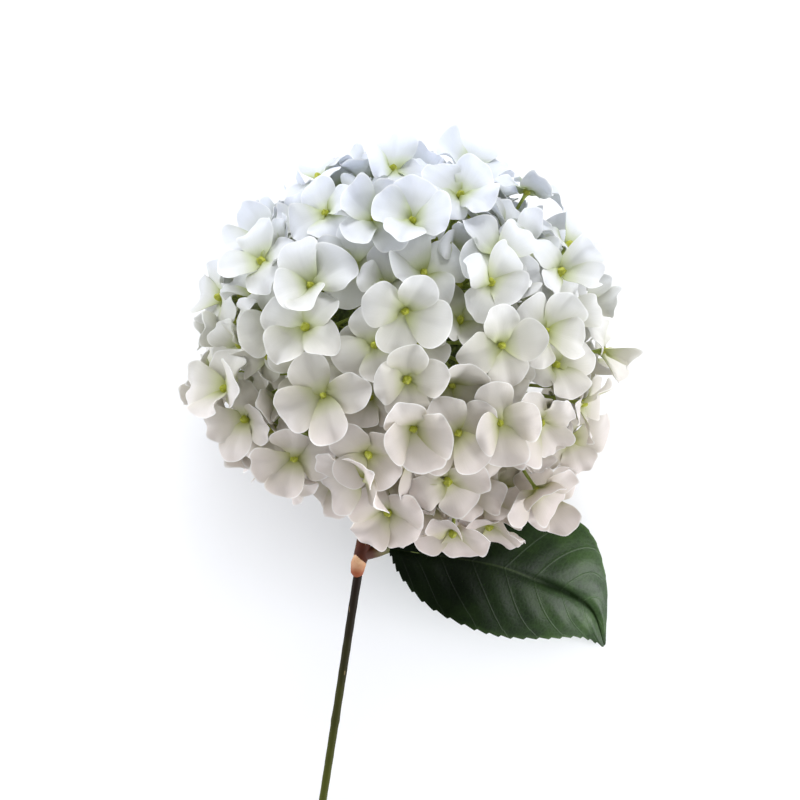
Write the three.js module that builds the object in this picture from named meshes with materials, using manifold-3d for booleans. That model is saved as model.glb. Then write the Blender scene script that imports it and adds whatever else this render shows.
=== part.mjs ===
// A cut hydrangea lying on a flat surface: one round head of four-petalled florets standing on a
// dense core of little stalks, a long bare stem that forks below the core, and one toothed leaf at
// the joint under the head. Millimetres, +Z up. The origin is the spot under the middle of the head
// where it rests, the stem runs towards -Y and the surface it lies on is z = 0.
import * as THREE from "three";
import { mergeVertices } from "three/addons/utils/BufferGeometryUtils.js";
import Module from "manifold-3d";

const wasm = await Module();
wasm.setup();

// ---------- driving dimensions ----------
const SEED = 7200;
const GAP = 0.3; // between touching pieces
const SLIVER = 0.05;

const HEAD_CENTRE = new THREE.Vector3(0, 0, 76);
const HEAD_SEATS = new THREE.Vector3(81, 79.5, 75.5); // semi-axes of the surface the florets sit on
const CORE_SHARE = 0.58; // the core's size as a share of the head's
// Where the head swells or is flattened: [direction, share], fading with the angle from it
const LOBES = [[[0.72, -0.69, 0], 0.06], [[-0.7, 0.71, 0], -0.07], [[-0.75, -0.66, 0], -0.05]];
const LOBE_ANGLE = 32; // degrees
const EYE = new THREE.Vector3(0, -23, 1000); // from the head's centre: where the flower is laid out from
const FACE_UP = 0.25; // how far the upper florets turn from straight outwards to straight up

const PETALS = 4;
const PETAL_LENGTH = 18.5;
const LEAN = 24; // degrees, the most that a floret tips off its facing
const LIFTS = { least: 0, most: 36 }; // degrees, of a floret's petals
const FLORET_THICKNESS = 0.8;
const FLORET_SPACING = 25.4; // least distance between the florets set by rule
const FLORET_CANDIDATES = 210;
const HEIGHTS = [3, 1, -1, -3, -5, -7, -9, -11]; // over the seats
const SETTLING_ROUNDS = 4;
const BENDS = [0, 6, -6, 12, -12]; // degrees, tried on each petal's lift once the heights are set
const BARE_DIRECTIONS = [[-11.5, -64, -15], [-32, -70, -4]]; // at the stem and beside it
const BARE_ANGLE = 23; // degrees round them with no florets set by rule
const LEAF_CLEARANCE = 19; // from the leaf to the seats set by rule
const PEDICEL_RADIUS = 1.1; // of the little stalk under a floret

const RAYS = 7;
const RAY = { foot: 1.8, end: 1.4, spread: 26, sides: 5 }; // radii, and how far their ends are spread

const CUT_END = new THREE.Vector3(-56, -355, 1.5);
const LEAF_JOINT = new THREE.Vector3(-16.5, -89, 56);
const STEM_TOP = new THREE.Vector3(-11.5, -64, 61);
const STEM = { lower: 1.45, upper: 3.0, joint: 3.3, sides: 8 }; // radii

const LEAF = { thickness: 0.85, steps: 44, bulge: 1.8, petiole: 1.6 };
const TOOTH = { upper: 0.6, lower: 1.2 };

// The leaf's lines from its base to its tip, as seen from the eye: [x, y, height]
const LEAF_MIDRIB = [
  [-5, -85, 54], [8, -87.5, 51], [24, -89.5, 46], [42, -93, 39], [58, -99, 31],
  [72, -105, 22], [81, -112, 13], [86, -126.5, 3],
];
const LEAF_UPPER_EDGE = [
  [-4.6, -84.2, 54], [4, -76, 47], [20, -71.5, 38], [40, -68, 29], [61, -67, 22],
  [79, -77, 17], [86.5, -97, 11], [86.6, -126, 3],
];
const LEAF_LOWER_EDGE = [
  [-5.4, -85.8, 54], [-1, -96, 50], [11, -109.5, 43], [29, -119, 36], [45, -123.2, 28],
  [62, -123.6, 19], [76, -123.2, 10], [85.4, -127, 3],
];

// The florets of the head's face, foremost first: [x, y, turn of the first petal], and for those that
// face sideways the way they face
const UPPER_FLORETS = [
  [-20, 35, 80], [29, 12, 20], [25, -19, 65], [-58, 9, 15], [-38, 7, 50], [2, 14, 70],
  [44, -45, 75], [32, -66, 65, 0.05, -0.25], [-71, -18, 80], [73, -40, 15, 0.3, -0.1],
  [-43, -46, 0], [-24, -31, 5], [51, 53, 75], [5, 50, 80], [-45, -12, 60], [20, -57, 30],
  [5, -33, 20], [-20, -9, 0], [69, -9, 20], [-58, 35, 10], [60, 6, 60], [47, -14, 30],
  [40, -31, 10], [54, -57, 20], [-42, 40, 45], [25, 62, 50], [-10, 51, 45], [7, -50, 80],
  [41, 38, 45], [-36, 24, 20], [-62, -40, 30], [12, 72, 90], [-8, -60, 50], [24, -36, 30],
  [57, -31, 30], [42, 0, 10], [-11, 0, 20], [11, 33, 30], [-67, -32, 10], [-31, -20, 20],
  [-13, -45, 45], [37, 26, 60], [-15, -52, 60, -0.9, -0.2], [-15, -61, 60, -0.9, -0.3],
  [-5, -67, 45], [3, -14, 0], [-78, 21, 165], [-61, 48, 20], [-31, 55, 105], [-12, 62, 120],
  [-3, 71, 92], [28, 72, 70], [56, 44, 80], [66, 30, 60], [71, 15, 5], [75, -24, 15],
  [61, -64, 30, 0.2, -0.2], [21, -74, 20, 0, -0.35], [54, -76, 50, 0.1, -0.3],
  [40, -80, 20, 0.15, -0.35], [-49, -54, 20, -0.5, -0.8],
];
const RESTING_FLORET = { x: -5, y: -4, turn: 20 }; // pressed flat on the surface

const COLOURS = {
  flower_head: { color: 0xf1f2ee, roughness: 0.62 },
  flower_stalks: { color: 0x8fa03a, roughness: 0.6 },
  stem: { color: 0x4c4a22, roughness: 0.55 },
  leaf: { color: 0x23421f, roughness: 0.5 },
};

// ---------- small helpers ----------
const vector = (x, y, z) => new THREE.Vector3(x, y, z);
const degrees = THREE.MathUtils.degToRad;
const mix = THREE.MathUtils.lerp;

// Nothing reaches below the surface that the flower lies on.
const pressed = (point, least) => point.clone().setZ(Math.max(point.z, least));

// A seeded stream of numbers from 0 to 1.
function randomFrom(seed) {
  let state = seed >>> 0;
  return () => {
    state = (state + 0x6d2b79f5) >>> 0;
    let t = Math.imul(state ^ (state >>> 15), state | 1);
    t ^= t + Math.imul(t ^ (t >>> 7), t | 61);
    return ((t ^ (t >>> 14)) >>> 0) / 4294967296;
  };
}

// A closed solid from points and triangles of point numbers.
function solidFrom(points, faces) {
  return solidOf(new THREE.BufferGeometry().setFromPoints(points).setIndex(faces.flat()));
}

function solidOf(geometry) {
  const merged = mergeVertices(geometry, 1e-4);
  const vertProperties = merged.getAttribute("position").array;
  const corners = merged.index.array;
  const kept = [];
  for (let i = 0; i < corners.length; i += 3) {
    const [a, b, c] = corners.slice(i, i + 3);
    if (a !== b && b !== c && c !== a) kept.push(a, b, c);
  }
  return new wasm.Manifold(
    new wasm.Mesh({ numProp: 3, vertProperties, triVerts: new Uint32Array(kept) }),
  );
}

// The largest closed body of a solid, with the slivers that joining leaves closed up.
function mainBody(solid) {
  const body = solid.decompose().reduce((a, b) => (a.volume() > b.volume() ? a : b));
  return body.setTolerance(SLIVER).simplify(SLIVER);
}

function geometryOf(solid) {
  const { vertProperties, triVerts } = solid.getMesh();
  const geometry = new THREE.BufferGeometry();
  geometry.setAttribute("position", new THREE.BufferAttribute(vertProperties, 3));
  return geometry.setIndex(new THREE.BufferAttribute(triVerts, 1));
}

function meshOf(name, solid) {
  const mesh = new THREE.Mesh(geometryOf(solid), new THREE.MeshStandardMaterial(COLOURS[name]));
  mesh.name = name;
  return mesh;
}

// A round rod along a curve, with radiusAt(share of the length) and closed ends.
function rod(curve, steps, sides, radiusAt) {
  const frames = curve.computeFrenetFrames(steps);
  const points = [];
  const faces = [];
  for (let i = 0; i <= steps; i++) {
    const centre = curve.getPointAt(i / steps);
    for (let s = 0; s < sides; s++) {
      const a = (2 * Math.PI * s) / sides;
      const across = frames.normals[i].clone().multiplyScalar(Math.cos(a));
      across.addScaledVector(frames.binormals[i], Math.sin(a));
      points.push(centre.clone().addScaledVector(across, radiusAt(i / steps)));
    }
  }
  const ring = (i, s) => i * sides + (s % sides);
  for (let s = 0; s < sides; s++) {
    if (s > 1) {
      faces.push([ring(0, 0), ring(0, s), ring(0, s - 1)]);
      faces.push([ring(steps, 0), ring(steps, s - 1), ring(steps, s)]);
    }
    for (let i = 0; i < steps; i++) {
      faces.push([ring(i, s), ring(i, s + 1), ring(i + 1, s + 1)]);
      faces.push([ring(i, s), ring(i + 1, s + 1), ring(i + 1, s)]);
    }
  }
  return solidFrom(points, faces);
}

// An ellipsoid of few faces about the head's centre.
function ellipsoid(semiAxes, detail) {
  const ball = new THREE.IcosahedronGeometry(1, detail).scale(...semiAxes.toArray());
  ball.translate(...HEAD_CENTRE.toArray());
  ball.deleteAttribute("normal");
  ball.deleteAttribute("uv");
  return solidOf(ball);
}

// ---------- where everything runs ----------
const stemDirection = STEM_TOP.clone().sub(HEAD_CENTRE).normalize();

// A smooth line through points that are seen at (x, y) in the plane of the head's centre.
function seenLine(points) {
  const places = points.map(([x, y, z]) => {
    const farther = 1 + (HEAD_CENTRE.z - z) / EYE.z;
    return vector(EYE.x + (x - EYE.x) * farther, EYE.y + (y - EYE.y) * farther, z);
  });
  return new THREE.CatmullRomCurve3(places);
}

const leafMidrib = seenLine(LEAF_MIDRIB);
const leafUpperEdge = seenLine(LEAF_UPPER_EDGE);
const leafLowerEdge = seenLine(LEAF_LOWER_EDGE);

// ---------- where the florets sit ----------
const outwardAt = (seat) => seat.clone().divide(HEAD_SEATS).divide(HEAD_SEATS).normalize();

// A seat of the plain ellipsoid moved to where the head swells or is flattened.
function swollen(seat) {
  const shares = LOBES.map(([way, share]) => {
    const angle = seat.angleTo(vector(...way)) / degrees(LOBE_ANGLE);
    return share * Math.exp(-(angle ** 2));
  });
  return seat.multiplyScalar(shares.reduce((sum, share) => sum + share, 1));
}

// The point of the seat surface below (x, y) as seen from the eye.
function upperSeat(x, y) {
  const seat = vector(0, 0, HEAD_SEATS.z);
  for (let i = 0; i < 8; i++) {
    const nearer = 1 - seat.z / EYE.z;
    seat.set(EYE.x + (x - EYE.x) * nearer, EYE.y + (y - EYE.y) * nearer, 0);
    const rim = Math.hypot(seat.x / HEAD_SEATS.x, seat.y / HEAD_SEATS.y);
    if (rim > 1) seat.divideScalar(rim);
    seat.z = HEAD_SEATS.z * Math.sqrt(Math.max(0, 1 - rim * rim));
  }
  return swollen(seat);
}

// The seats of the rest of the head, spread evenly and kept clear of the stem and the leaf.
function ruledSeats(taken) {
  const seats = [];
  const leafPlaces = [...leafMidrib.getPoints(12), ...leafUpperEdge.getPoints(12)];
  const golden = Math.PI * (3 - Math.sqrt(5));
  for (let i = 0; i < FLORET_CANDIDATES; i++) {
    const height = 1 - (2 * i + 1) / FLORET_CANDIDATES;
    const around = Math.sqrt(1 - height * height);
    const seat = vector(around * Math.cos(golden * i), around * Math.sin(golden * i), height);
    swollen(seat.multiply(HEAD_SEATS));
    const place = seat.clone().add(HEAD_CENTRE);
    const crowded = [...taken, ...seats].some((other) => other.distanceTo(seat) < FLORET_SPACING);
    const bare = BARE_DIRECTIONS.some((way) => seat.angleTo(vector(...way)) < degrees(BARE_ANGLE));
    const onLeaf = leafPlaces.some((p) => p.distanceTo(place) < LEAF_CLEARANCE);
    if (!crowded && !bare && !onLeaf) seats.push(seat);
  }
  return seats;
}

// Every floret: its seat and centre, the way it faces, its two petal directions and its petals' lifts.
function floretPlaces() {
  const florets = UPPER_FLORETS.map(([x, y, turn, faceX, faceY]) => {
    const seat = upperSeat(x, y);
    const raised = outwardAt(seat).lerp(vector(0, 0, 1), FACE_UP);
    const facing = faceX === undefined ? raised : vector(faceX, faceY, 0.45);
    return { seat, facing: facing.normalize(), turn };
  });
  const { x, y, turn } = RESTING_FLORET;
  florets.push({ seat: vector(x, y, -HEAD_SEATS.z), facing: vector(0, 0, -1), turn, resting: true });
  ruledSeats(florets.map((floret) => floret.seat)).forEach((seat, i) => {
    const turn = 90 * randomFrom(SEED + 1000 + i)();
    florets.push({ seat, facing: outwardAt(seat), turn });
  });
  florets.forEach(poseFloret);
  settle(florets);
  return florets;
}

// Tips a floret a little off its facing, and draws its size and the lift of each petal.
function poseFloret(floret, index) {
  const draw = randomFrom(SEED + index);
  const lean = degrees(floret.resting ? 0 : mix(0, LEAN, draw()));
  const towards = 2 * Math.PI * draw();
  const side = vector(Math.cos(towards), Math.sin(towards), 0.01);
  floret.facing.applyAxisAngle(side.cross(floret.facing).normalize(), lean);
  floret.size = PETAL_LENGTH * mix(0.93, 1.07, draw());
  floret.cups = Array.from({ length: PETALS }, () => degrees(mix(LIFTS.least, LIFTS.most, draw())));
  const reference = Math.abs(floret.facing.x) > 0.9 ? vector(0, 1, 0) : vector(1, 0, 0);
  const along = reference.addScaledVector(floret.facing, -reference.dot(floret.facing)).normalize();
  const across = floret.facing.clone().cross(along);
  const [c, s] = [Math.cos(degrees(floret.turn)), Math.sin(degrees(floret.turn))];
  floret.first = along.clone().multiplyScalar(c).addScaledVector(across, s);
  floret.next = across.clone().multiplyScalar(c).addScaledVector(along, -s);
  raise(floret, floret.resting ? 4 : 0);
}

function raise(floret, height) {
  floret.height = height;
  floret.centre = floret.seat.clone().add(HEAD_CENTRE);
  floret.centre.addScaledVector(outwardAt(floret.seat), height);
  floret.rim = floretRim(floret);
}

// Lifts or sinks each floret, then bends each petal, to pass clear over or under the neighbours'.
function settle(florets) {
  const reach = 2.3 * PETAL_LENGTH;
  const standing = florets.filter((floret) => !floret.resting);
  const cost = (floret, near) => {
    const sunk = floret.rim.filter((p) => p.z < FLORET_THICKNESS).length;
    return near.reduce((sum, f) => sum + tangle(floret, f) + tangle(f, floret), sunk);
  };
  const choose = (floret, options, apply) => {
    const near = florets.filter((f) => f !== floret && f.seat.distanceTo(floret.seat) < reach);
    const costs = options.map((option) => {
      apply(option);
      return cost(floret, near) + 0.02 * Math.abs(option);
    });
    apply(options[costs.indexOf(Math.min(...costs))]);
  };
  for (let round = 0; round < SETTLING_ROUNDS; round++) {
    for (const floret of standing) choose(floret, HEIGHTS, (height) => raise(floret, height));
  }
  for (const floret of standing) {
    for (let petal = 0; petal < PETALS; petal++) {
      const lift = floret.cups[petal];
      choose(floret, BENDS, (bend) => {
        floret.cups[petal] = lift + degrees(bend);
        raise(floret, floret.height);
      });
    }
  }
}

// How many points of a floret's rim are on the other side of another floret's petals than the rest.
function tangle(floret, other) {
  let above = 0;
  let below = 0;
  for (const point of floret.rim) {
    const offset = point.clone().sub(other.centre);
    const [u, v] = [offset.dot(other.first), offset.dot(other.next)];
    const out = Math.hypot(u, v);
    if (out > other.size) continue;
    const petal = (Math.round(Math.atan2(v, u) / (Math.PI / 2)) + PETALS) % PETALS;
    const height = offset.dot(other.facing) - out * Math.tan(other.cups[petal]);
    if (height > -1) above++;
    if (height < 1) below++;
  }
  return Math.min(above, below);
}

// ---------- the head ----------
// Each petal's outline: [angle from the petal's middle, share of its length, share of its lift],
// from the notch before it to its far shoulder.
const PETAL = [
  [-45, 0.44, 0.1],
  [-29, 0.93, 1.12],
  [0, 1.0, 0.92],
  [29, 0.93, 1.12],
];
const BUTTON = 1.2; // height of the button in the middle of a floret

function floretRim(floret) {
  return floret.cups.flatMap((cup, petal) =>
    PETAL.map(([angle, reach, rise]) => {
      const a = degrees(90 * petal + angle);
      const length = floret.size * reach * Math.cos(cup);
      const point = floret.centre.clone().addScaledVector(floret.first, length * Math.cos(a));
      point.addScaledVector(floret.next, length * Math.sin(a));
      return point.addScaledVector(floret.facing, floret.size * Math.sin(cup) * rise);
    }),
  );
}

// Four petals in one thin blade, with a button in the middle of its outer side.
function floretBlade(floret) {
  const { centre, facing, rim } = floret;
  const n = rim.length;
  const middle = 2 * n;
  const faces = [];
  for (let i = 0; i < n; i++) {
    const next = (i + 1) % n;
    faces.push([i, i + n, next + n], [i, next + n, next]);
  }
  for (let notch = 0; notch < n; notch += PETAL.length) {
    const far = (notch + PETAL.length) % n;
    faces.push([middle, notch, far], [notch, notch + 1, far], [notch + 1, notch + 2, far]);
    faces.push([notch + 2, notch + 3, far]);
    faces.push([notch + n, far + n, notch + 1 + n], [notch + 1 + n, far + n, notch + 2 + n]);
    faces.push([notch + 2 + n, far + n, notch + 3 + n]);
  }
  const [a, b, c, d] = [0, 1, 2, 3].map((petal) => n + petal * PETAL.length);
  faces.push([a, d, b], [b, d, c]);
  const inner = rim.map((p) => p.clone().addScaledVector(facing, -FLORET_THICKNESS));
  const button = centre.clone().addScaledVector(facing, BUTTON);
  const points = [
    ...rim.map((p) => pressed(p, 0)),
    ...inner.map((p) => pressed(p, FLORET_THICKNESS)),
    pressed(button, 0),
  ];
  return solidFrom(points, faces);
}

// The little stalk of a floret, its foot sunk in the core and its tip in the floret.
function pedicel(floret, radius) {
  const foot = floret.seat.clone().multiplyScalar(0.8 * CORE_SHARE).add(HEAD_CENTRE);
  const tip = floret.centre.clone().addScaledVector(floret.facing, 0.5 * BUTTON);
  const path = new THREE.LineCurve3(foot, pressed(tip, 0.4));
  return rod(path, 1, 3, () => radius);
}

const coreOf = (extra) => ellipsoid(HEAD_SEATS.clone().multiplyScalar(CORE_SHARE).addScalar(extra), 1);

function flowerHead(florets) {
  const pedicels = florets.map((floret) => pedicel(floret, PEDICEL_RADIUS));
  return wasm.Manifold.union([coreOf(0), ...florets.map(floretBlade), ...pedicels]);
}

// The room that the core and the little stalks take up among the rays.
function coreSpace(florets) {
  const pedicels = florets.map((floret) => pedicel(floret, PEDICEL_RADIUS + 2 * GAP));
  return wasm.Manifold.union([coreOf(GAP), ...pedicels]);
}

// ---------- the rays ----------
// The forks of the stem, from a knot at its top to where they enter the core.
function flowerStalks() {
  const knot = STEM_TOP.clone().addScaledVector(stemDirection, -2);
  const rays = Array.from({ length: RAYS }, (_, i) => {
    const a = (2 * Math.PI * i) / (RAYS - 1);
    const spread = i === RAYS - 1 ? 0 : RAY.spread;
    const side = vector(1, 0, 0).cross(stemDirection).normalize();
    const other = side.clone().cross(stemDirection);
    const end = HEAD_CENTRE.clone().addScaledVector(stemDirection, 0.5 * HEAD_SEATS.y);
    end.addScaledVector(side, spread * Math.cos(a)).addScaledVector(other, spread * Math.sin(a));
    const bend = knot.clone().lerp(end, 0.45).addScaledVector(stemDirection, 3);
    const path = new THREE.CatmullRomCurve3([knot, bend, end]);
    return rod(path, 3, RAY.sides, (t) => mix(RAY.foot, RAY.end, t));
  });
  return wasm.Manifold.union(rays);
}

// ---------- the stem ----------
const stemCurve = new THREE.CatmullRomCurve3([
  CUT_END,
  vector(-48, -290, 13),
  vector(-38, -225, 26.5),
  vector(-27, -155, 41.5),
  LEAF_JOINT,
  STEM_TOP,
]);
const JOINT_AT = 0.913; // share of the stem's length where the leaf's joint is

function stemRadius(t) {
  const body = t < JOINT_AT ? mix(STEM.lower, STEM.lower * 1.3, t / JOINT_AT) : STEM.upper;
  const swelling = (STEM.joint - body) * Math.exp(-(((t - JOINT_AT) / 0.016) ** 2));
  return body + Math.max(0, swelling);
}

const stemRod = (extra) => rod(stemCurve, 40, STEM.sides, (t) => stemRadius(t) + extra);

// ---------- the leaf ----------
// A point of the blade's upper side: side is -1 on the lower edge, 0 on the midrib, 1 on the upper edge.
function leafPoint(t, side, tooth) {
  const edge = (side < 0 ? leafLowerEdge : leafUpperEdge).getPoint(t);
  const rib = leafMidrib.getPoint(t);
  const width = edge.distanceTo(rib);
  const share = Math.abs(side) - Math.min(0.3, tooth / Math.max(width, 1));
  const point = rib.lerp(edge, share);
  point.z += LEAF.bulge * Math.sin(Math.PI * share) * Math.min(1, width / 20);
  return pressed(point, LEAF.thickness);
}

function leafBlade() {
  const columns = [-1, -0.5, 0, 0.5, 1];
  const upper = [];
  for (let i = 0; i <= LEAF.steps; i++) {
    const t = mix(0.002, 0.995, i / LEAF.steps);
    const notch = [i % 2 ? 0 : TOOTH.lower, 0, 0, 0, i % 2 ? 0 : TOOTH.upper];
    columns.forEach((side, c) => upper.push(leafPoint(t, side, notch[c])));
  }
  const lower = upper.map((p) => p.clone().setZ(p.z - LEAF.thickness));
  const w = columns.length;
  const under = upper.length;
  const faces = [];
  const wall = (a, b) => faces.push([a, a + under, b + under], [a, b + under, b]);
  for (let i = 0; i < LEAF.steps; i++) {
    for (let c = 0; c < w - 1; c++) {
      const [a, b, d, e] = [i * w + c, i * w + c + 1, (i + 1) * w + c, (i + 1) * w + c + 1];
      const split = c < w / 2 - 1 ? [[a, e, d], [a, b, e]] : [[a, b, d], [b, e, d]];
      for (const [p, q, r] of split) {
        faces.push([p, r, q], [p + under, q + under, r + under]);
      }
    }
    wall(i * w, (i + 1) * w);
    wall((i + 1) * w + w - 1, i * w + w - 1);
  }
  for (let c = 0; c < w - 1; c++) {
    wall(c + 1, c);
    wall(LEAF.steps * w + c, LEAF.steps * w + c + 1);
  }
  return solidFrom([...upper, ...lower], faces);
}

function leafWithStalk(stemSpace) {
  const start = LEAF_JOINT.clone();
  const base = leafMidrib.getPoint(0.02);
  const ribPoints = [0.1, 0.25, 0.4, 0.55, 0.7, 0.82].map((t) => leafMidrib.getPoint(t));
  const path = new THREE.CatmullRomCurve3([start, start.clone().lerp(base, 0.5), base, ...ribPoints]);
  const rib = rod(path, 14, 6, (t) => mix(LEAF.petiole, 0.7, Math.min(1, t * 1.3)));
  return mainBody(wasm.Manifold.union([leafBlade(), rib]).subtract(stemSpace));
}

// ---------- the flower ----------
const florets = floretPlaces();
const stemSpace = stemRod(GAP);
const head = flowerHead(florets).subtract(stemSpace);
const stalks = flowerStalks().subtract(stemSpace).subtract(coreSpace(florets));

const flower = new THREE.Group();
flower.add(
  meshOf("flower_head", mainBody(head)),
  meshOf("flower_stalks", mainBody(stalks)),
  meshOf("stem", stemRod(0)),
  meshOf("leaf", leafWithStalk(stemSpace)),
);

export default flower;
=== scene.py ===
# A cut hydrangea lying on a pale surface, seen from straight above. Blender metres, +Z up. Sizes in
# this script are in millimetres in the same frame, and MM turns them into metres.
import math
from functools import partial

import bpy
import numpy as np
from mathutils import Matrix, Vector


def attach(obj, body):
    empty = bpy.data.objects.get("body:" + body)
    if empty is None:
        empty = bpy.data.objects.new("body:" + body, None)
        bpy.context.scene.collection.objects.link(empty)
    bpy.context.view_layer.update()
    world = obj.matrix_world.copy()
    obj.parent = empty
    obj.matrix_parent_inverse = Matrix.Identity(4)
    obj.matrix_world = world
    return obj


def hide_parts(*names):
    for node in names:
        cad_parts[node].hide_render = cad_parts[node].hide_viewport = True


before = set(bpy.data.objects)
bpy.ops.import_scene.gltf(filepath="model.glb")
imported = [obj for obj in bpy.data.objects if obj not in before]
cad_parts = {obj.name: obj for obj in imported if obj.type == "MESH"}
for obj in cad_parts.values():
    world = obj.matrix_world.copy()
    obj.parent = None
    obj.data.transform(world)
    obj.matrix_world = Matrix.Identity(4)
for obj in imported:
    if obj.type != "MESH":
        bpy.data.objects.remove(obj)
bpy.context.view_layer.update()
MM = 0.001

# --- where the flower's parts are, as in its solids ---
# where the random draws of each kind start
SEEDS = {
    "pose": 7200, "turn": 8200, "stalk": 10200, "button": 11200, "core": 12200,
    "inner": 13200, "filling": 13700, "petals": 27200, "inner petals": 37200,
}
HEAD_CENTRE = np.array([0.0, 0.0, 76.0])
HEAD_SEATS = np.array([81.0, 79.5, 75.5])
CORE_SHARE = 0.58
# which way each swelling or flat place lies, and its share of the head's size
LOBES = [([0.72, -0.69, 0.0], 0.06), ([-0.7, 0.71, 0.0], -0.07), ([-0.75, -0.66, 0.0], -0.05)]
LOBE_ANGLE = 32.0
EYE = np.array([0.0, -23.0, 1000.0])  # from the head's centre
FACE_UP = 0.25  # share by which the upper florets face the eye and not straight out
SIDEWAYS_UP = 0.45
PETALS = 4
PETAL_LENGTH = 18.5
LEAN = 24.0
LIFTS = (0.0, 36.0)  # degrees that a petal stands up
FLORET_SIZES = (0.93, 1.07)
RESTING_LIFT = 4
# points that stand for a petal's rim: degrees off its middle line, reach and rise
RIM = [(-45, 0.44, 0.1), (-29, 0.93, 1.12), (0, 1.0, 0.92), (29, 0.93, 1.12)]
FLORET_THICKNESS = 0.8
FLORET_SPACING = 25.4
FLORET_CANDIDATES = 210
HEIGHTS = [3, 1, -1, -3, -5, -7, -9, -11]
SETTLING_ROUNDS = 4
BENDS = [0, 6, -6, 12, -12]
SETTLING = {"near": 2.3, "cost": 0.02, "touch": 1}
BARE_DIRECTIONS = [[-11.5, -64, -15], [-32, -70, -4]]
BARE_ANGLE = 23.0
LEAF_CLEARANCE = 19.0
RAYS = 7
RAY = {"foot": 1.8, "end": 1.4, "spread": 26.0}
LEAF_JOINT = np.array([-16.5, -89.0, 56.0])
STEM_TOP = np.array([-11.5, -64.0, 61.0])
STEM_LINE = [[-56, -355, 1.5], [-48, -290, 13], [-38, -225, 26.5], [-27, -155, 41.5], LEAF_JOINT, STEM_TOP]
STEM = {"lower": 1.45, "upper": 3.0, "joint": 3.3}
JOINT_AT = 0.913
LEAF_THICKNESS = 0.5
LEAF_BULGE = 1.8
TEETH = {"upper": 0.6, "lower": 1.2, "pairs": 22}
VEINS = {"pairs": 9.0, "slope": 0.17, "bend": 0.07}
LEAF_MIDRIB = [
    [-5, -85, 54], [8, -87.5, 51], [24, -89.5, 46], [42, -93, 39], [58, -99, 31],
    [72, -105, 22], [81, -112, 13], [86, -126.5, 3],
]
LEAF_UPPER_EDGE = [
    [-4.6, -84.2, 54], [4, -76, 47], [20, -71.5, 38], [40, -68, 29], [61, -67, 22],
    [79, -77, 17], [86.5, -97, 11], [86.6, -126, 3],
]
LEAF_LOWER_EDGE = [
    [-5.4, -85.8, 54], [-1, -96, 50], [11, -109.5, 43], [29, -119, 36], [45, -123.2, 28],
    [62, -123.6, 19], [76, -123.2, 10], [85.4, -127, 3],
]
# [x, y, turn of the first petal], and for those that face sideways the way they face
UPPER_FLORETS = [
    [-20, 35, 80], [29, 12, 20], [25, -19, 65], [-58, 9, 15], [-38, 7, 50], [2, 14, 70],
    [44, -45, 75], [32, -66, 65, 0.05, -0.25], [-71, -18, 80], [73, -40, 15, 0.3, -0.1],
    [-43, -46, 0], [-24, -31, 5], [51, 53, 75], [5, 50, 80], [-45, -12, 60], [20, -57, 30],
    [5, -33, 20], [-20, -9, 0], [69, -9, 20], [-58, 35, 10], [60, 6, 60], [47, -14, 30],
    [40, -31, 10], [54, -57, 20], [-42, 40, 45], [25, 62, 50], [-10, 51, 45], [7, -50, 80],
    [41, 38, 45], [-36, 24, 20], [-62, -40, 30], [12, 72, 90], [-8, -60, 50], [24, -36, 30],
    [57, -31, 30], [42, 0, 10], [-11, 0, 20], [11, 33, 30], [-67, -32, 10], [-31, -20, 20],
    [-13, -45, 45], [37, 26, 60], [-15, -52, 60, -0.9, -0.2], [-15, -61, 60, -0.9, -0.3],
    [-5, -67, 45], [3, -14, 0], [-78, 21, 165], [-61, 48, 20], [-31, 55, 105], [-12, 62, 120],
    [-3, 71, 92], [28, 72, 70], [56, 44, 80], [66, 30, 60], [71, 15, 5], [75, -24, 15],
    [61, -64, 30, 0.2, -0.2], [21, -74, 20, 0, -0.35], [54, -76, 50, 0.1, -0.3],
    [40, -80, 20, 0.15, -0.35], [-49, -54, 20, -0.5, -0.8],
]
RESTING_FLORET = [-5, -4, 20]

# --- the finer form ---
FULL_TURN = 6.28  # radians, for turns that are drawn
SHARP_FROM = 55.0  # degrees between faces that keep a crisp edge
PETAL_WIDTH = 1.02  # of the petal's length
PETAL_THICKNESS = 0.28
BLADE = (0.93, 0.34, -0.16)  # a petal's width at its middle, and how it changes along it
# what is drawn for each petal, in shares of its size, degrees ("stand") or millimetres
DRAWN = {
    "size": (0.88, 1.04), "stand": (-12, 12), "lean": (-0.12, 0.12), "twist": (-0.5, 0.5),
    "width": (0.8, 1.06), "fold": (-0.2, 0.5), "hollow": (-2.6, 3.0), "flip": (-4.5, 4.5),
    "bow": (-0.8, 2.2), "lip": (-1.2, 0.3),
}
POINT = (0.4, 1.5)  # most that a petal narrows to its tip, and how rare that is
ROLL = (4.6, 1.5)  # most millimetres that its tip rolls back, and how rare that is
WAVES = [(2, 1.2), (3, 1.3), (5, 1.1), (8, 0.6)]  # waves round a petal, and their most depth
LEAST_WAVE = 0.1
LAYERS = (-0.1, 0.3)  # how high the petals of each pair stand over their floret's middle
CREASE = (0.35, 1.4)  # depth and half width of a petal's middle line
PETAL_DRAWS = 16  # tried for each petal
TIP = 20.0  # most degrees that a floret tips to one side
TIP_SEED = 5000  # after the petals' own
SWING = 8.0  # most degrees that a petal stands off its quarter
GAP = 0.45  # kept between petals pressed together
REACH = 40.0  # between the middles of florets whose petals may meet
PETAL_GRID = 12
BUTTON = {"radius": 1.85, "sizes": (0.85, 1.15), "narrowest": 0.75, "tall": 1.35, "rise": 0.9}
BUTTON_ROOM = 3.0  # under a floret's middle, for it to have a button
PEDICEL_RADIUS = 0.75
PEDICEL_END = [0.8, 1.05, 1.5]
HUBS = 16
HUB_SHARE = 0.42
CORE_BUDS = 260
BUD_SIZES = (1.1, 1.9)
FILLING = [(12.5, -66, 12.0), (36, -64, 12.0)]  # where florets fill the gaps over the leaf
FILLING_UP = 0.9
FILLING_TURN = 30.0
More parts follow.
